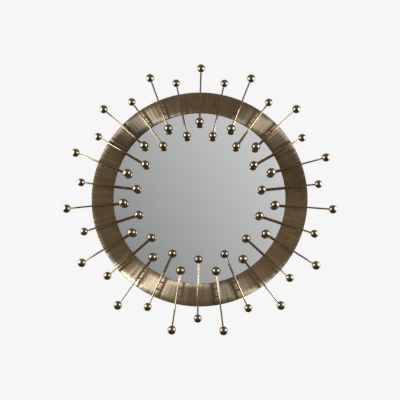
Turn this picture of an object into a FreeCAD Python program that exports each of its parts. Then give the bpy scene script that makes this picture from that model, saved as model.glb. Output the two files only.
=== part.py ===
import FreeCAD, Part
import Sketcher
import os

# Girandole mirror, hung on a wall. Millimetres and degrees.
# Origin: centre of the backing board's back face, on the wall. The mirror faces -Y, +Z is up.
# "front" below is a distance from the wall towards -Y. Clock angles run clockwise from +Z.

doc = FreeCAD.newDocument("girandole_mirror")
sizes = doc.addObject("Spreadsheet::Sheet", "Sizes")

driving_sizes = [
    # brass ring
    ("ring_outer_diameter", 790, ""),
    ("ring_width", 80, "from the inner edge to the outer edge"),
    ("ring_thickness", 3, ""),
    ("ring_edge_chamfer", 0.5, "broken edges of the ring's front"),
    # backing board
    ("board_set_back", 15, "of its rim behind the ring's outer edge"),
    ("board_thickness", 18, ""),
    ("board_edge_chamfer", 1.5, "round its back"),
    # glass and the tape under it
    ("glass_overlap", 6, "of the ring's inner edge over the glass"),
    ("glass_thickness", 4, ""),
    ("glass_bevel", 0.8, ""),
    ("glass_side_gap", 1.5, "between the glass and the rebate, all round"),
    ("glass_to_ring_gap", 0.3, ""),
    ("tape_thickness", 1, ""),
    ("tape_length", 80, ""),
    ("tape_width", 25, ""),
    ("tape_pads", 12, "pads in the circle"),
    ("tape_rim_gap", 56, "from the glass's rim to the pads"),
    ("tape_centre_diameter", 90, "round pad in the middle"),
    # rods
    ("rod_pairs", 15, "each pair is one outset and one inset rod"),
    ("rod_diameter", 6, ""),
    ("rod_length", 177, "between the two balls' seats"),
    ("outset_shift", 29.1, "rod's middle beyond the posts' middle"),
    ("inset_shift", 19.2, "rod's middle short of the posts' middle"),
    ("spigot_diameter", 4, "turned ends that enter the balls"),
    ("spigot_length", 9, ""),
    # balls
    ("large_ball_diameter", 31, ""),
    ("small_ball_diameter", 29, ""),
    ("ball_seat_diameter", 7, "flat that the rod's shoulder meets"),
    ("ball_to_glass_gap", 0.7, "under the large balls"),
    # posts
    ("post_diameter", 5, ""),
    ("post_inset", 3.5, "posts' middle inside the middle of the ring's width"),
    ("post_spacing", 26.7, ""),
    ("post_spigot_diameter", 3, "stub that enters the rod"),
    ("post_spigot_rise", 0.6, "stub's top beyond the rod's axis"),
    ("tapped_hole_depth", 6, ""),
    # screws and washers behind the posts
    ("screw_diameter", 3, ""),
    ("screw_head_diameter", 5.6, ""),
    ("screw_head_height", 2.2, ""),
    ("screw_key_size", 2.5, "hexagon socket across its corners"),
    ("screw_key_depth", 1.3, ""),
    ("screw_engagement", 4.5, "thread inside the post"),
    ("screw_head_sink", 3.3, "head's top below the board's back"),
    ("washer_diameter", 7, ""),
    ("washer_thickness", 0.5, ""),
    ("washer_side_gap", 0.3, "to the counterbore's wall"),
    ("through_hole_gap", 0.2, "round the screw in ring and board"),
    # fits
    ("close_gap", 0.05, "radial clearance of pegs in their holes"),
    ("end_gap", 0.4, "beyond a peg's end in its blind hole"),
    # hanger plates and their screws
    ("hanger_spacing", 400, "between the two keyholes"),
    ("hanger_rim_gap", 40, "from the glass's rim to the keyhole entries"),
    ("hanger_width", 26, ""),
    ("hanger_length", 64, ""),
    ("hanger_thickness", 2, ""),
    ("hanger_corner_radius", 4, ""),
    ("hanger_side_gap", 0.25, "to its pocket in the board"),
    ("keyhole_entry_diameter", 10, ""),
    ("keyhole_slot_width", 5, ""),
    ("keyhole_run", 16, "from the entry up to the slot's end"),
    ("hook_room_depth", 8, "room for a wall screw's head"),
    ("hook_room_width", 16, ""),
    ("hanger_screw_spacing", 48, ""),
    ("hanger_screw_diameter", 3.2, ""),
    ("hanger_screw_head", 6, ""),
    ("hanger_screw_length", 9, ""),
    ("hanger_screw_slot", 0.8, ""),
]

# How far each outset rod leans from its true radius, clockwise, pivoting between its posts.
outset_leans = [1, -3, -1.5, 2.5, -2, 2, -3.5, 4.5, -4.5, -1, -2, -0.5, 3, -0.5, 3.5]

for row, (alias, value, note) in enumerate(driving_sizes, start=1):
    sizes.set(f"A{row}", alias)
    sizes.set(f"B{row}", str(value))
    sizes.setAlias(f"B{row}", alias)
    sizes.set(f"C{row}", note)
for row, lean in enumerate(outset_leans, start=len(driving_sizes) + 1):
    alias = f"lean_of_rod_{row - len(driving_sizes):02d}"
    sizes.set(f"A{row}", alias)
    sizes.set(f"B{row}", str(lean))
    sizes.setAlias(f"B{row}", alias)
doc.recompute()

across_y = FreeCAD.Rotation(FreeCAD.Vector(1, 0, 0), -90)    # turns a cylinder's +Z axis to +Y
half_turn = 180
whole_turn = 360
near = 0.001    # two places closer than this count as one
rod_pairs = int(sizes.rod_pairs)
lean_count = len(outset_leans)

# Sizes across the mirror.
ring_inner_diameter = "(Sizes.ring_outer_diameter - 2 * Sizes.ring_width)"
board_diameter = "(Sizes.ring_outer_diameter - 2 * Sizes.board_set_back)"
glass_diameter = f"({ring_inner_diameter} + 2 * Sizes.glass_overlap)"
post_circle = "((Sizes.ring_outer_diameter - Sizes.ring_width) / 2 - Sizes.post_inset)"
entry_circle = f"({glass_diameter} / 2 - Sizes.hanger_rim_gap)"
entry_height = f"sqrt({entry_circle} ^ 2 - (Sizes.hanger_spacing / 2) ^ 2)"
hanger_centre = f"({entry_height} + Sizes.keyhole_run / 2)"

# Places along the depth, as distances from the wall.
ring_front = "(Sizes.board_thickness + Sizes.ring_thickness)"
glass_front = "(Sizes.board_thickness - Sizes.glass_to_ring_gap)"
tape_back = f"({glass_front} - Sizes.glass_thickness - Sizes.tape_thickness)"
rod_axis = f"({glass_front} + Sizes.ball_to_glass_gap + Sizes.large_ball_diameter / 2)"
recess_depth = "(Sizes.screw_head_sink + Sizes.screw_head_height + Sizes.washer_thickness)"


def body_plane(body, role):
    for feature in body.Origin.OriginFeatures:
        if feature.Role == role:
            return feature


def new_body(label):
    body = doc.addObject("PartDesign::Body", label)
    body.Label = label
    body.AllowCompound = True
    return body


def new_sketch(body, name, role="XZ_Plane", lift=None):
    """An empty sketch on one of the body's planes. Lifting an XZ sketch moves it towards -Y."""
    sketch = body.newObject("Sketcher::SketchObject", name)
    sketch.AttachmentSupport = [(body_plane(body, role), "")]
    sketch.MapMode = "FlatFace"
    if lift is not None:
        sketch.setExpression("AttachmentOffset.Base.z", lift)
    return sketch


def bind(sketch, constraint, expression):
    index = sketch.addConstraint(constraint)
    sketch.setExpression(f"Constraints[{index}]", expression)


def place_point(sketch, geometry, point, across, up):
    """Binds a point to the origin. A leading minus in across or up puts it on the other side."""
    for kind, axis, distance in (("DistanceX", -2, across), ("DistanceY", -1, up)):
        if distance == "0":
            sketch.addConstraint(Sketcher.Constraint("PointOnObject", geometry, point, axis))
        elif distance.startswith("-"):
            size = sketch.evalExpression(distance[1:])
            bind(sketch, Sketcher.Constraint(kind, geometry, point, -1, 1, float(size)), distance[1:])
        else:
            size = sketch.evalExpression(distance)
            bind(sketch, Sketcher.Constraint(kind, -1, 1, geometry, point, float(size)), distance)


def signed(sketch, distance):
    """The value of an expression that may have a leading minus."""
    if distance.startswith("-"):
        return -float(sketch.evalExpression(distance[1:]))
    return float(sketch.evalExpression(distance))


def add_circle(sketch, diameter, across="0", up="0"):
    centre = FreeCAD.Vector(signed(sketch, across), signed(sketch, up), 0)
    radius = float(sketch.evalExpression(diameter)) / 2
    circle = sketch.addGeometry(Part.Circle(centre, FreeCAD.Vector(0, 0, 1), radius))
    bind(sketch, Sketcher.Constraint("Diameter", circle, 2 * radius), diameter)
    place_point(sketch, circle, 3, across, up)


def add_rectangle(sketch, left, right, bottom, top):
    """A rectangle whose sides stand at four distances from the sketch's origin."""
    corners = [(left, bottom), (right, bottom), (right, top), (left, top)]
    spots = [FreeCAD.Vector(signed(sketch, x), signed(sketch, y), 0) for x, y in corners]
    lines = []
    for start, end in zip(spots, spots[1:] + spots[:1]):
        lines.append(sketch.addGeometry(Part.LineSegment(start, end)))
    for line, following in zip(lines, lines[1:] + lines[:1]):
        sketch.addConstraint(Sketcher.Constraint("Coincident", line, 2, following, 1))
    for line in (lines[0], lines[2]):
        sketch.addConstraint(Sketcher.Constraint("Horizontal", line))
    for line in (lines[1], lines[3]):
        sketch.addConstraint(Sketcher.Constraint("Vertical", line))
    place_point(sketch, lines[0], 1, left, bottom)
    place_point(sketch, lines[2], 1, right, top)


def pad(body, sketch, length, name):
    feature = body.newObject("PartDesign::Pad", name)
    feature.Profile = sketch
    feature.setExpression("Length", length)
    return feature


def pocket(body, sketch, length, name, towards_front=False):
    """Cuts from the sketch towards its back, or towards its front."""
    feature = body.newObject("PartDesign::Pocket", name)
    feature.Profile = sketch
    feature.Reversed = towards_front
    feature.setExpression("Length", length)
    return feature


def chamfer(body, base, size, wanted, name):
    """Chamfers the edges of base for which wanted(edge) holds."""
    doc.recompute()
    names = [f"Edge{i}" for i, edge in enumerate(base.Shape.Edges, start=1) if wanted(edge)]
    feature = body.newObject("PartDesign::Chamfer", name)
    feature.Base = (base, names)
    feature.setExpression("Size", size)
    return feature


def cylinder(name, radius, height, start="0", turn=None):
    """A cylinder along +Z, or along +Y when turned, that starts at a distance along its axis."""
    piece = doc.addObject("Part::Cylinder", name)
    piece.setExpression("Radius", radius)
    piece.setExpression("Height", height)
    if turn is None:
        piece.setExpression("Placement.Base.z", start)
    else:
        piece.Placement = FreeCAD.Placement(FreeCAD.Vector(), turn)
        piece.setExpression("Placement.Base.y", start)
    return piece


def cut(label, base, tool):
    piece = doc.addObject("Part::Cut", label)
    piece.Label = label
    piece.Base = base
    piece.Tool = tool
    return piece


def fuse(label, base, tool):
    piece = doc.addObject("Part::Fuse", label)
    piece.Label = label
    piece.Base = base
    piece.Tool = tool
    return piece


# The rods' stations round the ring: clock angle and lean of each rod, as expressions.
outset_stations = []
inset_stations = []
for number in range(rod_pairs):
    lean = f"Sizes.lean_of_rod_{number + 1:02d}" if number < lean_count else "0"
    outset_stations.append((f"({number} * {whole_turn} / Sizes.rod_pairs)", lean))
    inset_stations.append((f"(({number} + 0.5) * {whole_turn} / Sizes.rod_pairs)", "0"))
all_stations = outset_stations + inset_stations


def place_on_rod(piece, station, front, along="0", flip=0):
    """Puts a piece at a distance along its rod from the middle between the rod's posts."""
    clock, lean = station
    across = f"{post_circle} * sin({clock}) + ({along}) * sin({clock} + {lean})"
    up = f"{post_circle} * cos({clock}) + ({along}) * cos({clock} + {lean})"
    piece.Placement = FreeCAD.Placement(FreeCAD.Vector(), FreeCAD.Rotation(FreeCAD.Vector(0, 1, 0), 1))
    piece.setExpression("Placement.Base.x", across)
    piece.setExpression("Placement.Base.y", f"-({front})")
    piece.setExpression("Placement.Base.z", up)
    piece.setExpression("Placement.Rotation.Angle", f"{clock} + {lean} + {flip}")


def repeat(label, master, spots):
    """One node of separate copies of a master. Each spot is (station, front, along, flip)."""
    copies = []
    for number, (station, front, along, flip) in enumerate(spots, start=1):
        copy = doc.addObject("App::Link", f"{label}_copy_{number:02d}")
        copy.LinkedObject = master
        copy.LinkTransform = True
        place_on_rod(copy, station, front, along, flip)
        copies.append(copy)
    group = doc.addObject("Part::Compound", label)
    group.Label = label
    group.Links = copies
    return group


# Brass ring: a flat plate with a clearance hole over each post screw.
def make_ring(screw_spots):
    blank = new_body("ring_blank")
    outline = new_sketch(blank, "ring_outline", lift="Sizes.board_thickness")
    add_circle(outline, "Sizes.ring_outer_diameter")
    add_circle(outline, ring_inner_diameter)
    plate = pad(blank, outline, "Sizes.ring_thickness", "ring_plate")
    front = -float(sizes.evalExpression(ring_front))
    chamfer(blank, plate, "Sizes.ring_edge_chamfer",
            lambda edge: edge.BoundBox.YMax < front + near, "ring_broken_edges")
    drill = cylinder("ring_drill", "Sizes.screw_diameter / 2 + Sizes.through_hole_gap",
                     "3 * Sizes.ring_thickness", "-2 * Sizes.ring_thickness", across_y)
    drills = repeat("ring_drills", drill, screw_spots("Sizes.board_thickness"))
    return cut("brass_ring", blank, drills)


# Mirror glass: a round pane with a small bevel round its front.
def make_glass():
    pane = new_body("mirror_glass")
    outline = new_sketch(pane, "glass_outline", lift=f"{glass_front} - Sizes.glass_thickness")
    add_circle(outline, glass_diameter)
    disc = pad(pane, outline, "Sizes.glass_thickness", "glass_disc")
    front = -float(sizes.evalExpression(glass_front))
    chamfer(pane, disc, "Sizes.glass_bevel",
            lambda edge: edge.BoundBox.YMax < front + near, "glass_front_bevel")
    return pane


# Tape pads: a circle of strips and one round pad in the middle, between glass and board.
def make_tape():
    tape = new_body("glass_tape_pads")
    strip = new_sketch(tape, "tape_strip", lift=tape_back)
    far = f"({glass_diameter} / 2 - Sizes.tape_rim_gap)"
    add_rectangle(strip, "-Sizes.tape_length / 2", "Sizes.tape_length / 2",
                  f"{far} - Sizes.tape_width", far)
    first = pad(tape, strip, "Sizes.tape_thickness", "tape_first_pad")
    circle = tape.newObject("PartDesign::PolarPattern", "tape_circle")
    circle.Originals = [first]
    circle.Axis = (body_plane(tape, "Y_Axis"), [""])
    circle.Angle = whole_turn
    circle.setExpression("Occurrences", "Sizes.tape_pads")
    tape.Tip = circle
    doc.recompute()
    middle = new_sketch(tape, "tape_middle", lift=tape_back)
    add_circle(middle, "Sizes.tape_centre_diameter")
    pad(tape, middle, "Sizes.tape_thickness", "tape_centre_pad")
    return tape


# Backing board: a round board with a rebate for the glass, hanger pockets and counterbored holes.
def make_board(screw_spots):
    blank = new_body("board_blank")
    outline = new_sketch(blank, "board_outline")
    add_circle(outline, board_diameter)
    disc = pad(blank, outline, "Sizes.board_thickness", "board_disc")
    chamfer(blank, disc, "Sizes.board_edge_chamfer",
            lambda edge: edge.BoundBox.YMin > -near, "board_back_edge")
    rebate = new_sketch(blank, "board_rebate", lift="Sizes.board_thickness")
    add_circle(rebate, f"{glass_diameter} + 2 * Sizes.glass_side_gap")
    pocket(blank, rebate, f"Sizes.board_thickness - {tape_back}", "board_glass_rebate")
    half_width = "(Sizes.hanger_width / 2 + Sizes.hanger_side_gap)"
    half_length = "(Sizes.hanger_length / 2 + Sizes.hanger_side_gap)"
    room_reach = "(Sizes.keyhole_run / 2 + Sizes.hook_room_width / 2)"
    for side, sign in (("left", -1), ("right", 1)):
        middle = "Sizes.hanger_spacing / 2"
        inner, outer = f"({middle} - {half_width})", f"({middle} + {half_width})"
        edges = (f"-{outer}", f"-{inner}") if sign < 0 else (inner, outer)
        seat = new_sketch(blank, f"{side}_hanger_seat")
        add_rectangle(seat, *edges, f"{hanger_centre} - {half_length}", f"{hanger_centre} + {half_length}")
        pocket(blank, seat, "Sizes.hanger_thickness", f"{side}_hanger_pocket", towards_front=True)
        half_room = "Sizes.hook_room_width / 2"
        inner, outer = f"({middle} - {half_room})", f"({middle} + {half_room})"
        edges = (f"-{outer}", f"-{inner}") if sign < 0 else (inner, outer)
        room = new_sketch(blank, f"{side}_hook_room")
        add_rectangle(room, *edges, f"{hanger_centre} - {room_reach}", f"{hanger_centre} + {room_reach}")
        pocket(blank, room, "Sizes.hook_room_depth", f"{side}_hook_pocket", towards_front=True)
        pilots = new_sketch(blank, f"{side}_pilot_holes")
        across = f"-{middle}" if sign < 0 else middle
        for end in ("-", "+"):
            add_circle(pilots, "Sizes.hanger_screw_diameter + 2 * Sizes.close_gap",
                       across, f"{hanger_centre} {end} Sizes.hanger_screw_spacing / 2")
        pilot_depth = "Sizes.hanger_screw_length + Sizes.end_gap"
        pocket(blank, pilots, pilot_depth, f"{side}_pilots", towards_front=True)
    bore = cylinder("board_bore", "Sizes.screw_diameter / 2 + Sizes.through_hole_gap",
                    "3 * Sizes.board_thickness", "-2 * Sizes.board_thickness", across_y)
    recess = cylinder("board_recess", "Sizes.washer_diameter / 2 + Sizes.washer_side_gap",
                      f"{recess_depth} + Sizes.board_thickness", f"-{recess_depth}", across_y)
    drill = fuse("board_drill", bore, recess)
    drills = repeat("board_drills", drill, screw_spots("0"))
    return cut("backing_board", blank, drills)


# Rods: a plain shaft with a thinner turned spigot at each end and two blind holes for its posts.
def make_rod(label, station, shift):
    rod = new_body(label)
    half_shaft = "Sizes.rod_length / 2"
    core_start = f"{shift} - {half_shaft} - Sizes.spigot_length"
    core_sketch = new_sketch(rod, f"{label}_spigots", "XY_Plane", core_start)
    add_circle(core_sketch, "Sizes.spigot_diameter")
    pad(rod, core_sketch, "Sizes.rod_length + 2 * Sizes.spigot_length", f"{label}_core")
    shaft_sketch = new_sketch(rod, f"{label}_round", "XY_Plane", f"{shift} - {half_shaft}")
    add_circle(shaft_sketch, "Sizes.rod_diameter")
    pad(rod, shaft_sketch, "Sizes.rod_length", f"{label}_shaft")
    sockets = new_sketch(rod, f"{label}_post_holes", lift="Sizes.post_spigot_rise + Sizes.end_gap")
    for up in ("Sizes.post_spacing / 2", "-Sizes.post_spacing / 2"):
        add_circle(sockets, "Sizes.post_spigot_diameter + 2 * Sizes.close_gap", up=up)
    pocket(rod, sockets, "Sizes.rod_diameter + Sizes.post_spigot_rise", f"{label}_sockets")
    place_on_rod(rod, station, rod_axis)
    return rod


# Balls: a sphere with a flat seat and a blind hole for the rod's spigot, both facing +Z.
def seat_height(diameter):
    return f"sqrt(({diameter} / 2) ^ 2 - (Sizes.ball_seat_diameter / 2) ^ 2)"


def make_ball(name, diameter):
    sphere = doc.addObject("Part::Sphere", f"{name}_sphere")
    sphere.setExpression("Radius", f"{diameter} / 2")
    seat = cylinder(f"{name}_seat", diameter, diameter, seat_height(diameter))
    hole = cylinder(f"{name}_hole", "Sizes.spigot_diameter / 2 + Sizes.close_gap", diameter,
                    f"{seat_height(diameter)} - Sizes.spigot_length - Sizes.end_gap")
    return cut(name, sphere, fuse(f"{name}_drill", seat, hole))


# Posts: a stub that enters the rod, a saddle that meets it, and a tapped hole from the ring side.
def make_post():
    height = f"({rod_axis} - {ring_front})"
    blank = cylinder("post_blank", "Sizes.post_diameter / 2", height, "0", across_y)
    saddle = cylinder("post_saddle", "Sizes.rod_diameter / 2 + Sizes.close_gap",
                      "2 * Sizes.post_diameter", "-Sizes.post_diameter")
    stub_root = "Sizes.screw_diameter / 2"
    stub = cylinder("post_stub", "Sizes.post_spigot_diameter / 2",
                    f"Sizes.post_spigot_rise + Sizes.rod_diameter / 2 + {stub_root}",
                    "-Sizes.post_spigot_rise", across_y)
    tapped = cylinder("post_tapped_hole", "Sizes.screw_diameter / 2 + Sizes.close_gap",
                      "Sizes.tapped_hole_depth", f"{height} - Sizes.tapped_hole_depth", across_y)
    saddled = cut("post_saddled", blank, saddle)
    return cut("post", fuse("post_with_stub", saddled, stub), tapped)


# Post screws: a round head with a hexagon socket, under-head face at the local origin.
def make_screw():
    screw = new_body("post_screw")
    shank_sketch = new_sketch(screw, "post_screw_round")
    add_circle(shank_sketch, "Sizes.screw_diameter")
    grip = f"Sizes.washer_thickness + Sizes.board_thickness - {recess_depth} + Sizes.ring_thickness"
    pad(screw, shank_sketch, f"{grip} + Sizes.screw_engagement", "post_screw_shank")
    head_sketch = new_sketch(screw, "post_screw_head_round")
    add_circle(head_sketch, "Sizes.screw_head_diameter")
    pad(screw, head_sketch, "Sizes.screw_head_height", "post_screw_head").Reversed = True
    key = doc.addObject("Part::Prism", "post_screw_key")
    key.Polygon = 6
    key.setExpression("Circumradius", "Sizes.screw_key_size / 2")
    key.setExpression("Height", "2 * Sizes.screw_key_depth")
    key.Placement = FreeCAD.Placement(FreeCAD.Vector(), across_y)
    key.setExpression("Placement.Base.y", "Sizes.screw_head_height - Sizes.screw_key_depth")
    return cut("post_screw_keyed", screw, key)


def make_washer():
    washer = new_body("post_washer")
    outline = new_sketch(washer, "washer_outline")
    add_circle(outline, "Sizes.washer_diameter")
    add_circle(outline, "Sizes.screw_diameter + 2 * Sizes.through_hole_gap")
    pad(washer, outline, "Sizes.washer_thickness", "washer_disc")
    return washer


# Hanger plates: flush in the board's back, with a keyhole and two countersunk screw holes.
def make_hanger(label, side):
    plate = new_body(label)
    outline = new_sketch(plate, f"{label}_outline")
    add_rectangle(outline, "-Sizes.hanger_width / 2", "Sizes.hanger_width / 2",
                  "-Sizes.hanger_length / 2", "Sizes.hanger_length / 2")
    blank = pad(plate, outline, "Sizes.hanger_thickness", f"{label}_blank")
    doc.recompute()
    corners = [f"Edge{i}" for i, edge in enumerate(blank.Shape.Edges, start=1)
               if edge.BoundBox.XLength < near and edge.BoundBox.ZLength < near]
    rounds = plate.newObject("PartDesign::Fillet", f"{label}_corners")
    rounds.Base = (blank, corners)
    rounds.setExpression("Radius", "Sizes.hanger_corner_radius")
    half_run = "Sizes.keyhole_run / 2"
    half_slot = "Sizes.keyhole_slot_width / 2"
    holes = [("entry", "Sizes.keyhole_entry_diameter", f"-{half_run}"),
             ("slot_end", "Sizes.keyhole_slot_width", half_run)]
    for name, diameter, up in holes:
        hole = new_sketch(plate, f"{label}_{name}")
        add_circle(hole, diameter, up=up)
        pocket(plate, hole, "2 * Sizes.hanger_thickness", f"{label}_{name}_cut", towards_front=True)
    slot = new_sketch(plate, f"{label}_slot")
    add_rectangle(slot, f"-{half_slot}", half_slot, f"-{half_run}", half_run)
    pocket(plate, slot, "2 * Sizes.hanger_thickness", f"{label}_slot_cut", towards_front=True)
    screws = new_sketch(plate, f"{label}_screw_holes")
    for up in ("-Sizes.hanger_screw_spacing / 2", "Sizes.hanger_screw_spacing / 2"):
        add_circle(screws, "Sizes.hanger_screw_diameter + 2 * Sizes.close_gap", up=up)
    drilled = pocket(plate, screws, "2 * Sizes.hanger_thickness", f"{label}_screw_cut", towards_front=True)
    reach = float(sizes.hanger_screw_spacing) / 2
    chamfer(plate, drilled, "(Sizes.hanger_screw_head - Sizes.hanger_screw_diameter) / 2",
            lambda edge: edge.BoundBox.YMin > -near and edge.Curve.TypeId == "Part::GeomCircle"
            and abs(abs(edge.Curve.Center.z) - reach) < near
            and abs(edge.Curve.Center.x) < near, f"{label}_countersinks")
    plate.setExpression("Placement.Base.x", f"{side} * Sizes.hanger_spacing / 2")
    plate.setExpression("Placement.Base.z", hanger_centre)
    return plate


def make_hanger_screws():
    sink = "((Sizes.hanger_screw_head - Sizes.hanger_screw_diameter) / 2)"
    head = doc.addObject("Part::Cone", "hanger_screw_head_cone")
    head.setExpression("Radius1", "Sizes.hanger_screw_diameter / 2")
    head.setExpression("Radius2", "Sizes.hanger_screw_head / 2")
    head.setExpression("Height", sink)
    head.Placement = FreeCAD.Placement(FreeCAD.Vector(), across_y)
    head.setExpression("Placement.Base.y", f"-{sink}")
    shank = cylinder("hanger_screw_shank", "Sizes.hanger_screw_diameter / 2",
                     f"Sizes.hanger_screw_length - {sink}", "-Sizes.hanger_screw_length", across_y)
    slot = doc.addObject("Part::Box", "hanger_screw_driver_slot")
    slot.setExpression("Length", "2 * Sizes.hanger_screw_head")
    slot.setExpression("Width", "Sizes.hanger_screw_slot")
    slot.setExpression("Height", "Sizes.hanger_screw_slot")
    slot.setExpression("Placement.Base.x", "-Sizes.hanger_screw_head")
    slot.setExpression("Placement.Base.y", "-Sizes.hanger_screw_slot")
    slot.setExpression("Placement.Base.z", "-Sizes.hanger_screw_slot / 2")
    screw = cut("hanger_screw", fuse("hanger_screw_blank", head, shank), slot)
    copies = []
    for side in (-1, 1):
        for end in (-1, 1):
            copy = doc.addObject("App::Link", f"hanger_screw_copy_{len(copies) + 1}")
            copy.LinkedObject = screw
            up = f"{hanger_centre} + {end} * Sizes.hanger_screw_spacing / 2"
            copy.setExpression("Placement.Base.x", f"{side} * Sizes.hanger_spacing / 2")
            copy.setExpression("Placement.Base.z", up)
            copies.append(copy)
    group = doc.addObject("Part::Compound", "hanger_screws")
    group.Label = "hanger_screws"
    group.Links = copies
    return group


def post_spots(front):
    """Every post's place, at the given distance from the wall."""
    spots = []
    for reach in ("-Sizes.post_spacing / 2", "Sizes.post_spacing / 2"):
        spots += [(station, front, reach, 0) for station in all_stations]
    return spots


sub_parts = [make_board(post_spots), make_ring(post_spots), make_glass(), make_tape()]

for number, station in enumerate(outset_stations, start=1):
    sub_parts.append(make_rod(f"outset_rod_{number:02d}", station, "Sizes.outset_shift"))
for number, station in enumerate(inset_stations, start=1):
    sub_parts.append(make_rod(f"inset_rod_{number:02d}", station, "-Sizes.inset_shift"))

large_ball = make_ball("large_ball", "Sizes.large_ball_diameter")
small_ball = make_ball("small_ball", "Sizes.small_ball_diameter")
large_reach = f"(Sizes.rod_length / 2 + {seat_height('Sizes.large_ball_diameter')})"
small_reach = f"(Sizes.rod_length / 2 + {seat_height('Sizes.small_ball_diameter')})"
ball_rows = [
    ("outset_tip_balls", large_ball, outset_stations, f"Sizes.outset_shift + {large_reach}", half_turn),
    ("outset_heel_balls", large_ball, outset_stations, f"Sizes.outset_shift - {large_reach}", 0),
    ("inset_tip_balls", small_ball, inset_stations, f"{small_reach} - Sizes.inset_shift", half_turn),
    ("inset_heel_balls", small_ball, inset_stations, f"-Sizes.inset_shift - {small_reach}", 0),
]
for label, ball, stations, along, flip in ball_rows:
    spots = [(station, rod_axis, along, flip) for station in stations]
    sub_parts.append(repeat(label, ball, spots))

all_posts = post_spots(rod_axis)
middle_post = len(all_stations)
post = make_post()
sub_parts.append(repeat("inner_posts", post, all_posts[:middle_post]))
sub_parts.append(repeat("outer_posts", post, all_posts[middle_post:]))
head_seat = f"{recess_depth} - Sizes.washer_thickness"
sub_parts.append(repeat("post_screws", make_screw(), post_spots(head_seat)))
sub_parts.append(repeat("post_washers", make_washer(), post_spots(head_seat)))
sub_parts.append(make_hanger("hanger_left", -1))
sub_parts.append(make_hanger("hanger_right", 1))
sub_parts.append(make_hanger_screws())

doc.recompute()
for thing in doc.Objects:
    if "Invalid" in thing.State or "Error" in thing.State:
        raise SystemExit(f"{thing.Label} did not rebuild: {thing.State}")
for piece in sub_parts:
    if piece.Shape.isNull() or not piece.Shape.isValid() or not piece.Shape.Solids:
        raise SystemExit(f"{piece.Label} has no sound solid")

os.makedirs("parts", exist_ok=True)
for piece in sub_parts:
    piece.Shape.exportStep(f"parts/{piece.Label}.step")
    print(f"{piece.Label}: {len(piece.Shape.Solids)} solids, {piece.Shape.Volume / 1000:.2f} cm3")
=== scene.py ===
import math

import bmesh
import bpy
from mathutils import Matrix, Vector


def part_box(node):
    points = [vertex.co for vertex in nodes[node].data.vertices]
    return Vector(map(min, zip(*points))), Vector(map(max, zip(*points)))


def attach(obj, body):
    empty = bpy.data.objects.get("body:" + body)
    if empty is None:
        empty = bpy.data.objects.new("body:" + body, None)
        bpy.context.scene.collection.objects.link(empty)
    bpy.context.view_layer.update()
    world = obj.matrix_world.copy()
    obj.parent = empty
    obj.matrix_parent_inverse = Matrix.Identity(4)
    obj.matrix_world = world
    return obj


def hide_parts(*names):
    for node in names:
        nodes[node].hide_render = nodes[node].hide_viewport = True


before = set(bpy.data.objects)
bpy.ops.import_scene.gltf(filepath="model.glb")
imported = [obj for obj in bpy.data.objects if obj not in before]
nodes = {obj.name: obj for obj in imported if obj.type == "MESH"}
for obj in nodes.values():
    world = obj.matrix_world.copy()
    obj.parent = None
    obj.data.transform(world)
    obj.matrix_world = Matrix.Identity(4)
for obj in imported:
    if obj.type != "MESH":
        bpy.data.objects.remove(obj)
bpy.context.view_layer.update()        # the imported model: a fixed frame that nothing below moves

print("frame loaded:", len(nodes), "nodes")


def clearSelection():
    if bpy.context.object and bpy.context.object.mode != "OBJECT":
        bpy.ops.object.mode_set(mode="OBJECT")
    bpy.ops.object.select_all(action="DESELECT")


def makeActive(piece):
    clearSelection()
    piece.select_set(True)
    bpy.context.view_layer.objects.active = piece


def startEditing(piece, mode="FACE"):
    makeActive(piece)
    bpy.ops.object.mode_set(mode="EDIT")
    bpy.ops.mesh.select_mode(type=mode)
    bpy.ops.mesh.select_all(action="DESELECT")


def selectFaces(piece, wanted):
    work = bmesh.from_edit_mesh(piece.data)
    for face in work.faces:
        face.select_set(wanted(face.calc_center_median(), face.normal))
    bmesh.update_edit_mesh(piece.data)


def selectEdges(piece, wanted):
    work = bmesh.from_edit_mesh(piece.data)
    for edge in work.edges:
        edge.select_set(wanted(edge.verts[0].co, edge.verts[1].co))
    bmesh.update_edit_mesh(piece.data)


def finishEditing(sharpAngle=30):
    bpy.ops.object.mode_set(mode="OBJECT")
    bpy.ops.object.transform_apply(location=True, rotation=True, scale=True)
    bpy.ops.object.shade_smooth_by_angle(angle=math.radians(sharpAngle))


def applyModifier(piece, modifier):
    makeActive(piece)
    bpy.ops.object.modifier_apply(modifier=modifier.name)


def addCylinderAlongY(sides, radius, frontY, backY):
    clearSelection()
    bpy.ops.mesh.primitive_cylinder_add(vertices=sides, radius=radius, depth=backY - frontY,
                                        location=(0, (frontY + backY) / 2, 0),
                                        rotation=(math.pi / 2, 0, 0))
    bpy.ops.object.transform_apply(location=True, rotation=True, scale=True)
    return bpy.context.object


def copyPiece(master, name, placing):
    piece = bpy.data.objects.new(name, master.data.copy())
    bpy.context.scene.collection.objects.link(piece)
    piece.data.transform(placing)
    piece.data.name = name
    return piece


def joinPieces(pieces, name):
    clearSelection()
    for piece in pieces:
        piece.select_set(True)
    bpy.context.view_layer.objects.active = pieces[0]
    bpy.ops.object.join()
    pieces[0].name = name
    pieces[0].data.name = name
    return pieces[0]


def dressPiece(piece, material, slotName, *replacedNodes):
    piece.data.materials.clear()
    piece.data.materials.append(material)
    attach(piece, "root")
    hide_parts(*replacedNodes)


def dressNode(nodeName, material):
    for materialSlot in nodes[nodeName].material_slots:
        materialSlot.material = material


def newMaterial(name):
    material = bpy.data.materials.new(name)
    material.use_nodes = True
    material.node_tree.nodes.clear()
    return material, material.node_tree


def setSocket(tree, socket, value):
    if hasattr(value, "is_output"):
        tree.links.new(value, socket)
    elif isinstance(value, tuple) and socket.type == "RGBA":
        socket.default_value = (*value, 1)
    else:
        socket.default_value = value


def addNode(tree, kind, **settings):
    node = tree.nodes.new(kind)
    for name, value in settings.items():
        if name in ("operation", "direction_type", "axis"):
            setattr(node, name, value)
        else:
            setSocket(tree, node.inputs[name], value)
    return node


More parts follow.
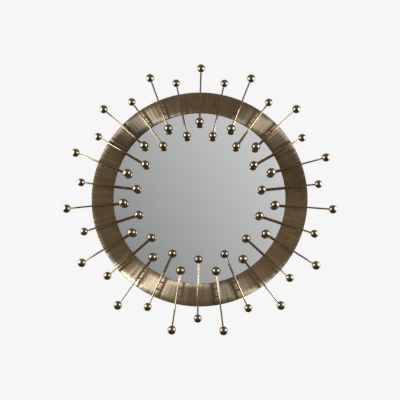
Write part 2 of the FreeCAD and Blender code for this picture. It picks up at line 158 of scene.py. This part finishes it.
def mathNode(tree, operation, *values):
    node = addNode(tree, "ShaderNodeMath", operation=operation)
    for socket, value in zip(node.inputs, values):
        setSocket(tree, socket, value)
    return node.outputs[0]


def vectorNode(tree, operation, *values):
    node = addNode(tree, "ShaderNodeVectorMath", operation=operation)
    for socket, value in zip(node.inputs, values):
        setSocket(tree, socket, value)
    return node.outputs["Value" if operation in ("LENGTH", "DOT_PRODUCT") else "Vector"]


def splitVector(tree, vector):
    node = tree.nodes.new("ShaderNodeSeparateXYZ")
    setSocket(tree, node.inputs[0], vector)
    return node.outputs


def joinVector(tree, **parts):
    return addNode(tree, "ShaderNodeCombineXYZ", **parts).outputs[0]


def objectPlace(tree):
    return tree.nodes.new("ShaderNodeTexCoord").outputs["Object"]


def noiseNode(tree, place, size, **settings):
    return addNode(tree, "ShaderNodeTexNoise", Vector=place, Scale=size, **settings).outputs["Fac"]


def bumpNode(tree, height, depth, **settings):
    return addNode(tree, "ShaderNodeBump", Height=height, Distance=depth, **settings).outputs[0]


def mixColour(tree, factor, first, second, blend="MIX"):
    node = tree.nodes.new("ShaderNodeMix")
    node.data_type = "RGBA"
    node.blend_type = blend
    sockets = {socket.identifier: socket for socket in node.inputs}
    for name, value in (("Factor_Float", factor), ("A_Color", first), ("B_Color", second)):
        setSocket(tree, sockets[name], value)
    return next(socket for socket in node.outputs if socket.identifier == "Result_Color")


def rangeNode(tree, value, fromLow, fromHigh, toLow=0.0, toHigh=1.0, smooth=False):
    node = tree.nodes.new("ShaderNodeMapRange")
    node.interpolation_type = "SMOOTHSTEP" if smooth else "LINEAR"
    names = ("Value", "From Min", "From Max", "To Min", "To Max")
    for name, part in zip(names, (value, fromLow, fromHigh, toLow, toHigh)):
        setSocket(tree, node.inputs[name], part)
    return node.outputs["Result"]


def principled(tree, sockets):
    shader = tree.nodes.new("ShaderNodeBsdfPrincipled")
    for name, value in sockets.items():
        setSocket(tree, shader.inputs[name], value)
    output = tree.nodes.new("ShaderNodeOutputMaterial")
    setSocket(tree, output.inputs["Surface"], shader.outputs["BSDF"])


def newGroup(name, inputs, outputs):
    group = bpy.data.node_groups.new(name, "ShaderNodeTree")
    for direction, sockets in (("INPUT", inputs), ("OUTPUT", outputs)):
        for label, kind in sockets.items():
            group.interface.new_socket(label, in_out=direction, socket_type="NodeSocket" + kind)
    return group, group.nodes.new("NodeGroupInput").outputs, group.nodes.new("NodeGroupOutput").inputs


def useGroup(tree, group, **values):
    node = tree.nodes.new("ShaderNodeGroup")
    node.node_tree = group
    for name, value in values.items():
        setSocket(tree, node.inputs[name], value)
    return node.outputs


tarnishPattern = {"smallStep": 5.3, "smallShare": 0.35, "cloudRange": (0.38, 0.62)}


def makeTarnishGroup():
    # cloudy ageing: two sizes of cloud decide where the aged colour covers the clean one
    group, given, results = newGroup(
        "tarnishClouds",
        {"Vector": "Vector", "Size": "Float", "Amount": "Float", "Clean": "Color", "Aged": "Color"},
        {"Colour": "Color", "Mask": "Float"})
    pattern = tarnishPattern
    smallSize = mathNode(group, "MULTIPLY", given["Size"], pattern["smallStep"])
    large = noiseNode(group, given["Vector"], given["Size"], Detail=3.0, Roughness=0.6, Distortion=0.4)
    small = noiseNode(group, given["Vector"], smallSize, Detail=2.0, Roughness=0.7)
    clouds = mathNode(group, "MULTIPLY", large, 1 - pattern["smallShare"])
    clouds = mathNode(group, "MULTIPLY_ADD", small, pattern["smallShare"], clouds)
    covered = rangeNode(group, clouds, *pattern["cloudRange"], smooth=True)
    mask = mathNode(group, "MULTIPLY", covered, given["Amount"])
    setSocket(group, results["Colour"], mixColour(group, mask, given["Clean"], given["Aged"]))
    setSocket(group, results["Mask"], mask)
    return group


# each layer of lines: how much finer it is, and its share
brushPattern = {"layers": ((1.0, 0.45), (3.1, 0.35), (9.7, 0.2)), "markRange": (0.35, 0.65)}


def makeBrushGroup():
    # lines left by an abrasive: Vector has its first two parts across them and its third along them
    group, given, results = newGroup("brushMarks", {"Vector": "Vector", "Fineness": "Float"},
                                     {"Marks": "Float", "Height": "Float"})
    total = 0.0
    for step, share in brushPattern["layers"]:
        size = mathNode(group, "MULTIPLY", given["Fineness"], step)
        lines = noiseNode(group, given["Vector"], size, Detail=1.0, Roughness=0.5)
        total = mathNode(group, "MULTIPLY_ADD", lines, share, total)
    setSocket(group, results["Marks"], rangeNode(group, total, *brushPattern["markRange"]))
    setSocket(group, results["Height"], total)
    return group


tarnishGroup = makeTarnishGroup()
brushGroup = makeBrushGroup()
print("shared effects made")


def useTarnish(tree, place, finish):
    return useGroup(tree, tarnishGroup, Vector=place, Size=finish["tarnishSize"],
                    Amount=finish["tarnishAmount"], Clean=finish["clean"], Aged=finish["aged"])


ringFinish = {
    "clean": (0.62, 0.515, 0.375), "aged": (0.45, 0.36, 0.25),
    "roughness": (0.34, 0.42), "anisotropic": 0.93,
    "linesRound": 42.0,           # brush lines per radian, for the broadest ones
    "linesAlong": 1.6,            # how often one of them changes, per metre of radius
    "lineDepth": 0.00001, "lineTone": (0.79, 1.12),
    "strokeSize": 2.1, "strokeLean": 0.17,
    "dentSize": 14.0, "dentDepth": 0.0002,
    "tarnishSize": 22.0, "tarnishAmount": 0.6,
    "rimZone": (0.0006, 0.0018),  # in from either rim, where the filing left a darker line
    "rimColour": (0.05, 0.035, 0.022), "rimShade": 0.6,
    # painted highlight (factor above 1) and painted shade (factor below 1) round a clock angle: the angle,
    # its reach and the factor
    "paintedHighlightAndShade": ((210, 25, 1.36), (217, 7, 1.45), (308, 18, 0.58), (319, 6, 0.66), (68, 32, 0.76),
             (165, 13, 0.64), (15, 18, 0.88), (120, 44, 1.28)),
}


def ringColour(tree, marks, tarnished, aim, radius, outerRadius, innerRadius):
    finish = ringFinish
    lineTone = rangeNode(tree, marks, 0.0, 1.0, *finish["lineTone"])
    # painted highlight and painted shade: lineTone is made brighter or duller round these clock angles, so
    # from here on it carries painted light as well as the brush lines
    for clock, reach, factor in finish["paintedHighlightAndShade"]:
        heading = math.radians(clock)
        towards = vectorNode(tree, "DOT_PRODUCT", aim, (math.sin(heading), math.cos(heading), 0))
        edge = math.cos(math.radians(reach))
        paintedLightFactor = rangeNode(tree, towards, edge, 1.0, 1.0, factor, smooth=True)
        lineTone = mathNode(tree, "MULTIPLY", lineTone, paintedLightFactor)
    base = mixColour(tree, 1.0, tarnished, lineTone, "MULTIPLY")
    fromRim = mathNode(tree, "MINIMUM", mathNode(tree, "SUBTRACT", outerRadius, radius),
                       mathNode(tree, "SUBTRACT", radius, innerRadius))
    rim = rangeNode(tree, fromRim, *finish["rimZone"], finish["rimShade"], 0.0, smooth=True)
    return mixColour(tree, rim, base, finish["rimColour"])


def ringNormal(tree, place, polar, aimParts, height):
    # shallow dents, then strokes that each lean a little in or out, then the fine lines
    finish = ringFinish
    uneven = bumpNode(tree, noiseNode(tree, place, finish["dentSize"], Detail=2.0), finish["dentDepth"],
                      Strength=1.0)
    strokes = noiseNode(tree, polar, finish["strokeSize"], Detail=0.5)
    lean = mathNode(tree, "SUBTRACT", strokes, 0.5)      # the noise is 0.5 on average
    lean = mathNode(tree, "MULTIPLY", lean, finish["strokeLean"])
    outward = joinVector(tree, X=mathNode(tree, "MULTIPLY", aimParts["X"], lean),
                         Z=mathNode(tree, "MULTIPLY", aimParts["Y"], lean))
    leaned = vectorNode(tree, "NORMALIZE", vectorNode(tree, "ADD", uneven, outward))
    return bumpNode(tree, height, finish["lineDepth"], Strength=1.0, Normal=leaned)


def ringMaterial(outerRadius, innerRadius):
    material, tree = newMaterial("brushedBrass")
    finish = ringFinish
    place = objectPlace(tree)
    parts = splitVector(tree, place)
    flat = joinVector(tree, X=parts["X"], Y=parts["Z"])
    radius = vectorNode(tree, "LENGTH", flat)
    aim = vectorNode(tree, "NORMALIZE", flat)
    aimParts = splitVector(tree, aim)
    # X and Y go round the ring, and Z out along the radius
    polar = joinVector(tree, X=mathNode(tree, "MULTIPLY", aimParts["X"], finish["linesRound"]),
                       Y=mathNode(tree, "MULTIPLY", aimParts["Y"], finish["linesRound"]),
                       Z=mathNode(tree, "MULTIPLY", radius, finish["linesAlong"]))
    brush = useGroup(tree, brushGroup, Vector=polar, Fineness=1.0)
    tarnish = useTarnish(tree, place, finish)
    tangent = addNode(tree, "ShaderNodeTangent", direction_type="RADIAL", axis="Y")
    principled(tree, {
        "Metallic": 1.0,
        "Anisotropic": finish["anisotropic"],
        "Base Color": ringColour(tree, brush["Marks"], tarnish["Colour"], aim, radius,
                                 outerRadius, innerRadius),
        "Roughness": rangeNode(tree, tarnish["Mask"], 0.0, 1.0, *finish["roughness"]),
        "Tangent": tangent.outputs[0],
        "Normal": ringNormal(tree, place, polar, aimParts, brush["Height"]),
    })
    return material


ring = {"width": 0.080, "rimBevel": 0.0006, "rimSegments": 3, "roundSteps": 480, "radiusSteps": 4}
facing = 0.9             # a face whose normal has this much of a direction faces it


def makeRing():
    low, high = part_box("brass_ring")
    outerRadius = high.x
    innerRadius = outerRadius - ring["width"]
    frontY = low.y
    nearRim = 0.0003
    piece = addCylinderAlongY(ring["roundSteps"], outerRadius, low.y, high.y)
    startEditing(piece)
    selectFaces(piece, lambda centre, normal: abs(normal.y) > facing)
    for _ in range(ring["radiusSteps"]):
        bpy.ops.mesh.inset(thickness=ring["width"] / ring["radiusSteps"], use_even_offset=True)
    bpy.ops.mesh.bridge_edge_loops()
    bpy.ops.mesh.select_mode(type="EDGE")

    def onFrontRim(a, b):
        if abs(a.y - frontY) > nearRim or abs(b.y - frontY) > nearRim:
            return False
        radii = [math.hypot(point.x, point.z) for point in (a, b)]
        return any(all(abs(radius - rim) < nearRim for radius in radii)
                   for rim in (outerRadius, innerRadius))

    selectEdges(piece, onFrontRim)
    bpy.ops.mesh.bevel(offset=ring["rimBevel"], segments=ring["rimSegments"], affect="EDGES")
    finishEditing()
    piece.name = "brassRing"
    dressPiece(piece, ringMaterial(outerRadius, innerRadius), "brushed_brass", "brass_ring")


makeRing()
print("ring made")


rodFinish = {"clean": (0.56, 0.47, 0.34), "aged": (0.42, 0.33, 0.22), "roughness": (0.12, 0.17),
             "linesRound": 2.2, "linesAlong": 1.3, "fineness": 1.5, "lineDepth": 0.0000005,
             "tarnishSize": 60.0, "tarnishAmount": 0.5}


def rodMaterial():
    material, tree = newMaterial("polishedBrassRods")
    finish = rodFinish
    parts = splitVector(tree, tree.nodes.new("ShaderNodeUVMap").outputs[0])
    turn = mathNode(tree, "MULTIPLY", parts["X"], math.tau)
    cosine, sine = (mathNode(tree, wave, turn) for wave in ("COSINE", "SINE"))
    lines = joinVector(tree, X=mathNode(tree, "MULTIPLY", cosine, finish["linesRound"]),
                       Y=mathNode(tree, "MULTIPLY", sine, finish["linesRound"]),
                       Z=mathNode(tree, "MULTIPLY", parts["Y"], finish["linesAlong"]))
    brush = useGroup(tree, brushGroup, Vector=lines, Fineness=finish["fineness"])
    principled(tree, {
        "Metallic": 1.0,
        "Base Color": useTarnish(tree, objectPlace(tree), finish)["Colour"],
        "Roughness": rangeNode(tree, brush["Marks"], 0.0, 1.0, *finish["roughness"]),
        "Normal": bumpNode(tree, brush["Height"], finish["lineDepth"], Strength=1.0),
    })
    return material


ballFinish = {"clean": (0.50, 0.43, 0.34), "aged": (0.40, 0.34, 0.255), "roughness": (0.05, 0.13),
              "tarnishSize": 90.0, "tarnishAmount": 0.5, "scuffSize": 420.0, "scuffRange": (0.3, 0.7)}


def ballMaterial():
    material, tree = newMaterial("polishedBrassBalls")
    finish = ballFinish
    place = objectPlace(tree)
    scuffs = noiseNode(tree, place, finish["scuffSize"], Detail=4.0, Roughness=0.7)
    principled(tree, {
        "Metallic": 1.0,
        "Base Color": useTarnish(tree, place, finish)["Colour"],
        "Roughness": rangeNode(tree, scuffs, *finish["scuffRange"], *finish["roughness"]),
    })
    return material


rodBrass = rodMaterial()
ballBrass = ballMaterial()


rod = {"pairs": 15, "diameter": 0.006, "spigotDiameter": 0.004, "spigotLength": 0.009,
       "endBevel": 0.0004, "bevelSegments": 2, "sides": 40, "sharpAngle": 35,
       "kinds": {"outset": {"clockStart": 0.0, "shift": 0.0291},
                 "inset": {"clockStart": 12.0, "shift": -0.0192}}}


def rodEnds(nodeName, clock):
    # the middles of the node's two end faces, inner end first
    outward = Vector((math.sin(clock), 0, math.cos(clock)))
    points = [vertex.co for vertex in nodes[nodeName].data.vertices]
    reach = [point.dot(outward) for point in points]
    endZone = 0.0006         # deeper than a leaning end face, shorter than a spigot
    ends = []
    for limit in (min(reach), max(reach)):
        face = [point for point, along in zip(points, reach) if abs(along - limit) < endZone]
        low = Vector(map(min, zip(*face)))
        high = Vector(map(max, zip(*face)))
        ends.append((low + high) / 2)
    return ends


def makeRodMaster(length):
    # runs along Z, its middle at the origin, with a spigot at both ends
    radius = rod["diameter"] / 2
    onRim = 0.0001
    clearSelection()
    bpy.ops.mesh.primitive_cylinder_add(vertices=rod["sides"], radius=radius, depth=length)
    piece = bpy.context.object
    startEditing(piece)
    for side in (1, -1):
        bpy.ops.mesh.select_all(action="DESELECT")
        bpy.ops.mesh.select_mode(type="FACE")
        selectFaces(piece, lambda centre, normal: normal.z * side > facing)
        bpy.ops.mesh.inset(thickness=radius - rod["spigotDiameter"] / 2)
        bpy.ops.mesh.extrude_region_move(
            TRANSFORM_OT_translate={"value": (0, 0, side * rod["spigotLength"])})
    bpy.ops.mesh.select_mode(type="EDGE")

    def onShoulder(point):
        return abs(abs(point.z) - length / 2) < onRim and point.xy.length > radius - onRim

    selectEdges(piece, lambda a, b: onShoulder(a) and onShoulder(b))
    bpy.ops.mesh.bevel(offset=rod["endBevel"], segments=rod["bevelSegments"], affect="EDGES")
    finishEditing(rod["sharpAngle"])
    piece.name = "rodMaster"
    return piece


def rodPlacing(inner, outer):
    turn = (outer - inner).to_track_quat("Z", "Y")
    return Matrix.Translation((inner + outer) / 2) @ turn.to_matrix().to_4x4()


def makeRods():
    placings = {}
    master = None
    for kind, spec in rod["kinds"].items():
        placings[kind] = []
        for number in range(rod["pairs"]):
            nodeName = f"{kind}_rod_{number + 1:02d}"
            clock = math.radians(spec["clockStart"] + number * 360 / rod["pairs"])
            inner, outer = rodEnds(nodeName, clock)
            shaft = (outer - inner).length - 2 * rod["spigotLength"]
            if master is None:
                master = makeRodMaster(shaft)
            placing = rodPlacing(inner, outer)
            placings[kind].append((placing, shaft))
            piece = copyPiece(master, f"{kind}Rod{number + 1:02d}", placing)
            dressPiece(piece, rodBrass, "polished_brass", nodeName)
    bpy.data.objects.remove(master)
    return placings


placings = makeRods()
print("rods made")


ball = {"large": 0.031, "small": 0.029, "seatDiameter": 0.007, "boreDiameter": 0.0041,
        "boreDepth": 0.0094, "segments": 56, "rings": 28}


def makeBallMaster(diameter):
    # centre at the origin, seat towards -Z
    clearSelection()
    bpy.ops.mesh.primitive_uv_sphere_add(segments=ball["segments"], ring_count=ball["rings"],
                                         radius=diameter / 2)
    piece = bpy.context.object
    seat = math.sqrt((diameter / 2) ** 2 - (ball["seatDiameter"] / 2) ** 2)
    nearAxis, seatFacing = 0.001, 0.95
    startEditing(piece)
    bpy.ops.mesh.select_all(action="SELECT")
    bpy.ops.mesh.bisect(plane_co=(0, 0, -seat), plane_no=(0, 0, -1), use_fill=True, clear_outer=True)
    bpy.ops.mesh.select_all(action="DESELECT")
    bpy.ops.mesh.select_mode(type="FACE")
    selectFaces(piece, lambda centre, normal: normal.z < -seatFacing and centre.xy.length < nearAxis)
    bpy.ops.mesh.inset(thickness=(ball["seatDiameter"] - ball["boreDiameter"]) / 2)
    bpy.ops.mesh.extrude_region_move(TRANSFORM_OT_translate={"value": (0, 0, ball["boreDepth"])})
    bpy.ops.mesh.select_all(action="SELECT")
    bpy.ops.mesh.normals_make_consistent(inside=False)
    finishEditing()
    return piece, seat


def makeBalls():
    groups = (("outset", "Tip", 1, "large"), ("outset", "Heel", -1, "large"),
              ("inset", "Tip", 1, "small"), ("inset", "Heel", -1, "small"))
    for kind, end, side, size in groups:
        master, seat = makeBallMaster(ball[size])
        flip = Matrix.Identity(4) if side > 0 else Matrix.Rotation(math.pi, 4, "X")
        copies = []
        for number, (placing, shaft) in enumerate(placings[kind]):
            spot = placing @ Matrix.Translation((0, 0, side * (shaft / 2 + seat))) @ flip
            copies.append(copyPiece(master, f"{kind}{end}Ball{number + 1:02d}", spot))
        bpy.data.objects.remove(master)
        piece = joinPieces(copies, f"{kind}{end}Balls")
        dressPiece(piece, ballBrass, "polished_brass", f"{kind}_{end.lower()}_balls")


makeBalls()
print("balls made")


post = {"diameter": 0.005, "spacing": 0.0267, "sides": 32, "footBevel": 0.0003, "bevelSegments": 2,
        "saddleSides": 96, "saddleLength": 0.020}


def makePostMaster(ringFace, rodAxis):
    # stands on the ring along -Y under a rod that runs along Z
    piece = addCylinderAlongY(post["sides"], post["diameter"] / 2, rodAxis, ringFace)
    nearFoot = 0.0001
    startEditing(piece, "EDGE")
    selectEdges(piece, lambda a, b: abs(a.y - ringFace) < nearFoot and abs(b.y - ringFace) < nearFoot)
    bpy.ops.mesh.bevel(offset=post["footBevel"], segments=post["bevelSegments"], affect="EDGES")
    finishEditing()
    bpy.ops.mesh.primitive_cylinder_add(vertices=post["saddleSides"], radius=rod["diameter"] / 2,
                                        depth=post["saddleLength"], location=(0, rodAxis, 0))
    cutter = bpy.context.object
    saddle = piece.modifiers.new("saddle", "BOOLEAN")
    saddle.operation = "DIFFERENCE"
    saddle.object = cutter
    saddle.solver = "EXACT"
    applyModifier(piece, saddle)
    bpy.data.objects.remove(cutter)
    return piece


def makePosts():
    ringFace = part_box("brass_ring")[0].y
    rodAxis = placings["outset"][0][0].translation.y
    master = makePostMaster(ringFace, rodAxis)
    for name, side, nodeName in (("innerPosts", -1, "inner_posts"), ("outerPosts", 1, "outer_posts")):
        copies = []
        for kind, spec in rod["kinds"].items():
            for number, (placing, _) in enumerate(placings[kind]):
                along = -spec["shift"] + side * post["spacing"] / 2
                spot = placing @ Vector((0, 0, along))
                aim = placing.to_3x3() @ Vector((0, 0, 1))
                turn = Matrix.Rotation(math.atan2(aim.x, aim.z), 4, "Y")
                moved = Matrix.Translation((spot.x, 0, spot.z)) @ turn
                copies.append(copyPiece(master, f"{kind}Post{number}{name}", moved))
        piece = joinPieces(copies, name)
        dressPiece(piece, rodBrass, "polished_brass", nodeName)
    bpy.data.objects.remove(master)


makePosts()
print("posts made")


glassFinish = {"silver": (0.86, 0.87, 0.87), "paint": (0.16, 0.17, 0.18), "edge": (0.28, 0.42, 0.38),
               "edgeRoughness": 0.3, "ior": 1.52, "bevel": 0.0009,
               "paintZone": (-0.0142, -0.0139)}          # where the bare edge turns into the painted back


def mirrorMaterial(frontY):
    material, tree = newMaterial("silveredGlass")
    finish = glassFinish
    depth = splitVector(tree, objectPlace(tree))["Y"]
    bevel = finish["bevel"]
    behind = rangeNode(tree, depth, frontY + bevel, frontY + 2 * bevel)
    edge = mixColour(tree, rangeNode(tree, depth, *finish["paintZone"]), finish["edge"], finish["paint"])
    principled(tree, {
        "IOR": finish["ior"],
        "Base Color": mixColour(tree, behind, finish["silver"], edge),
        "Metallic": mathNode(tree, "SUBTRACT", 1.0, behind),
        "Roughness": mathNode(tree, "MULTIPLY", behind, finish["edgeRoughness"]),
    })
    return material


boardFinish = {"black": (0.022, 0.021, 0.020), "brown": (0.045, 0.036, 0.028), "toneRange": (0.35, 0.65),
               "fibreSize": 260.0, "fibreShare": 0.5, "fibreRange": (0.3, 0.7), "cloudSize": 9.0,
               "roughness": (0.55, 0.8), "specular": 0.35, "bumpStrength": 0.5, "bumpDepth": 0.0002}


def boardMaterial():
    # fibreboard sealed with black stain, in places a little browner and rougher
    material, tree = newMaterial("stainedFibreboard")
    finish = boardFinish
    place = objectPlace(tree)
    fibre = noiseNode(tree, place, finish["fibreSize"], Detail=5.0, Roughness=0.65)
    clouds = noiseNode(tree, place, finish["cloudSize"], Detail=3.0)
    tone = mathNode(tree, "MULTIPLY_ADD", fibre, finish["fibreShare"],
                    mathNode(tree, "MULTIPLY", clouds, 1 - finish["fibreShare"]))
    browner = rangeNode(tree, tone, *finish["toneRange"])
    principled(tree, {
        "Specular IOR Level": finish["specular"],
        "Base Color": mixColour(tree, browner, finish["black"], finish["brown"]),
        "Roughness": rangeNode(tree, fibre, *finish["fibreRange"], *finish["roughness"]),
        "Normal": bumpNode(tree, fibre, finish["bumpDepth"], Strength=finish["bumpStrength"]),
    })
    return material


steelFinish = {"clean": (0.62, 0.62, 0.60), "aged": (0.42, 0.42, 0.40), "roughness": (0.24, 0.40),
               "tarnishSize": 150.0, "tarnishAmount": 0.8, "lineStretch": (900, 900, 60), "fineness": 0.3}


def steelMaterial():
    material, tree = newMaterial("zincPlatedSteel")
    finish = steelFinish
    place = objectPlace(tree)
    stretched = vectorNode(tree, "MULTIPLY", place, finish["lineStretch"])
    brush = useGroup(tree, brushGroup, Vector=stretched, Fineness=finish["fineness"])
    principled(tree, {
        "Metallic": 1.0,
        "Base Color": useTarnish(tree, place, finish)["Colour"],
        "Roughness": rangeNode(tree, brush["Marks"], 0.0, 1.0, *finish["roughness"]),
    })
    return material


tapeFinish = {"pit": (0.62, 0.62, 0.60), "wall": (0.78, 0.78, 0.76), "cellSize": 1400.0,
              "pitReach": 0.7, "roughness": 0.8, "pitStrength": 0.6, "pitDepth": 0.0002}


def tapeMaterial():
    # closed-cell foam, with its cells as small pits
    material, tree = newMaterial("foamTape")
    finish = tapeFinish
    cells = addNode(tree, "ShaderNodeTexVoronoi", Vector=objectPlace(tree), Scale=finish["cellSize"])
    distance = cells.outputs["Distance"]
    fromPit = rangeNode(tree, distance, 0.0, finish["pitReach"])
    principled(tree, {
        "Roughness": finish["roughness"],
        "Base Color": mixColour(tree, fromPit, finish["pit"], finish["wall"]),
        "Normal": bumpNode(tree, distance, finish["pitDepth"], Strength=finish["pitStrength"]),
    })
    return material


dressNode("mirror_glass", mirrorMaterial(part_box("mirror_glass")[0].y))
dressNode("backing_board", boardMaterial())
dressNode("glass_tape_pads", tapeMaterial())
steel = steelMaterial()
for nodeName in ("post_screws", "post_washers", "hanger_left", "hanger_right", "hanger_screws"):
    dressNode(nodeName, steel)
print("carried-over nodes dressed")


studio = {"paper": 0.9216, "fill": 0.40,
          "floorHeight": -1.15, "floorRadius": 1.4, "floorSides": 96, "floorTone": 0.8,
          "frontTone": 0.42, "frontSlopeX": 0.825, "frontSlopeZ": 0.60,
          "frontDarkest": 0.22, "frontBrightest": 0.80,
          "ceilingEdge": (0.30, 0.50), "floorEdge": (-0.35, -0.60), "sideEdge": (-0.20, 0.05),
          "ceiling": (0.190, 0.156, 0.118), "room": (0.162, 0.129, 0.089), "ground": (0.060, 0.041, 0.025),
          "straightOffGlass": 2.5}       # ray depth of what shows in the glass stays below this


def makeWorld():
    # plain pale backdrop all round, and for polished metal a dim room in front of the mirror;
    # the glass itself shows an even grey there, brighter to the right and up
    world = bpy.data.worlds.new("studioWorld")
    bpy.context.scene.world = world
    world.use_nodes = True
    tree = world.node_tree
    tree.nodes.clear()
    paper = (studio["paper"],) * 3
    x, y, z = splitVector(tree, tree.nodes.new("ShaderNodeTexCoord").outputs["Generated"])
    front = mathNode(tree, "MULTIPLY_ADD", x, studio["frontSlopeX"], studio["frontTone"])
    front = mathNode(tree, "MULTIPLY_ADD", z, studio["frontSlopeZ"], front)
    front = mathNode(tree, "MAXIMUM", front, studio["frontDarkest"])
    front = mathNode(tree, "MINIMUM", front, studio["frontBrightest"])
    beside = rangeNode(tree, y, *studio["sideEdge"], smooth=True)
    above = rangeNode(tree, z, *studio["ceilingEdge"], smooth=True)
    below = rangeNode(tree, z, *studio["floorEdge"], smooth=True)
    around = mixColour(tree, beside, studio["room"], paper)
    around = mixColour(tree, above, around, studio["ceiling"])
    around = mixColour(tree, below, around, studio["ground"])
    path = tree.nodes.new("ShaderNodeLightPath").outputs
    shown = mathNode(tree, "MAXIMUM", path["Is Glossy Ray"], path["Is Transmission Ray"])
    first = mathNode(tree, "LESS_THAN", path["Ray Depth"], studio["straightOffGlass"])
    inGlass = mathNode(tree, "MULTIPLY", path["Is Singular Ray"], first)
    around = mixColour(tree, inGlass, around, front)
    tone = mixColour(tree, shown, (studio["fill"],) * 3, around)
    tone = mixColour(tree, path["Is Camera Ray"], tone, paper)
    background = addNode(tree, "ShaderNodeBackground", Color=tone)
    output = tree.nodes.new("ShaderNodeOutputWorld")
    setSocket(tree, output.inputs["Surface"], background.outputs[0])


def makeFloor():
    clearSelection()
    bpy.ops.mesh.primitive_circle_add(vertices=studio["floorSides"], radius=studio["floorRadius"],
                                      fill_type="NGON", location=(0, 0, studio["floorHeight"]))
    floor = bpy.context.object
    floor.name = "studioFloor"
    material, tree = newMaterial("studioPaper")
    paper = addNode(tree, "ShaderNodeBsdfDiffuse", Color=(studio["floorTone"],) * 3)
    glow = addNode(tree, "ShaderNodeEmission", Color=(studio["paper"],) * 3)
    mix = tree.nodes.new("ShaderNodeMixShader")
    cameraRay = tree.nodes.new("ShaderNodeLightPath").outputs["Is Camera Ray"]
    for socket, source in zip(mix.inputs, (cameraRay, paper.outputs[0], glow.outputs[0])):
        setSocket(tree, socket, source)
    output = tree.nodes.new("ShaderNodeOutputMaterial")
    setSocket(tree, output.inputs["Surface"], mix.outputs[0])
    floor.data.materials.append(material)
    floor.visible_glossy = False


softboxes = {
    "lampLeft": {"place": (-1.28, -0.90, 0.060), "size": (0.28, 0.08), "power": 9.2, "lights": "brushed"},
    "lampRight": {"place": (1.26, -0.74, -0.090), "size": (0.30, 0.08), "power": 7.3, "lights": "brushed"},
    "rodsLeft": {"place": (-1.06, -0.60, -0.17), "size": (0.85, 0.66), "power": 9.8, "lights": "rods"},
    "rodsRight": {"place": (1.31, -0.65, -0.04), "size": (0.95, 0.56), "power": 12.4, "lights": "rods"},
    "ballsLeft": {"place": (-1.10, -0.55, 0.26), "size": (1.50, 1.14), "power": 13.8, "lights": "balls"},
    "ballsRight": {"place": (1.25, -0.60, 0.24), "size": (1.60, 1.14), "power": 14.6, "lights": "balls"},
}
lampColour = (1.0, 1.03, 1.05)


def lampGroup(piece):
    # the small lamps work on the brushed ring, the broad ones on the rods and posts, and on the balls
    material = piece.data.materials[0]
    if material == rodBrass:
        return "rods"
    return "balls" if material == ballBrass else "brushed"


def makeLights():
    groups = {name: bpy.data.collections.new(name) for name in ("brushed", "rods", "balls")}
    for piece in [item for item in bpy.context.scene.objects if item.type == "MESH"]:
        if piece != nodes["mirror_glass"]:
            groups[lampGroup(piece)].objects.link(piece)
    for name, spec in softboxes.items():
        lamp = bpy.data.lights.new(name, "AREA")
        lamp.shape = "RECTANGLE"
        lamp.size, lamp.size_y = spec["size"]
        lamp.energy = spec["power"]
        lamp.color = lampColour
        holder = bpy.data.objects.new(name, lamp)
        bpy.context.scene.collection.objects.link(holder)
        place = Vector(spec["place"])
        holder.location = place
        aim = place if spec["lights"] == "brushed" else Vector((place.x, 0, 0))
        holder.rotation_euler = aim.to_track_quat("Z", "Y").to_euler()
        holder.visible_camera = False
        holder.light_linking.receiver_collection = groups[spec["lights"]]


cameraSetup = {"lens": 43.65, "distance": 1.773, "target": (0, -0.021, 0),
               "belowDegrees": 8.1, "rightDegrees": 1.2, "rollDegrees": 0.62,
               "shiftX": 0.00215, "shiftY": -0.0096}


def makeCamera():
    setup = cameraSetup
    angles = (setup[key] for key in ("belowDegrees", "rightDegrees", "rollDegrees"))
    pitch, yaw, roll = (math.radians(angle) for angle in angles)
    back = Vector((math.sin(yaw) * math.cos(pitch), -math.cos(yaw) * math.cos(pitch), -math.sin(pitch)))
    data = bpy.data.cameras.new("photoCamera")
    data.lens = setup["lens"]
    data.shift_x = setup["shiftX"]
    data.shift_y = setup["shiftY"]
    camera = bpy.data.objects.new("photoCamera", data)
    bpy.context.scene.collection.objects.link(camera)
    right = (-back).cross(Vector((0, 0, 1))).normalized()
    up = right.cross(-back)
    axisX = right * math.cos(roll) + up * math.sin(roll)
    axisY = up * math.cos(roll) - right * math.sin(roll)
    turn = Matrix((axisX, axisY, back)).transposed().to_4x4()
    place = Vector(setup["target"]) + back * setup["distance"]
    camera.matrix_world = Matrix.Translation(place) @ turn
    bpy.context.scene.camera = camera


makeWorld()
makeFloor()
makeLights()
makeCamera()
bpy.context.scene.view_settings.view_transform = "Standard"
print("studio made")
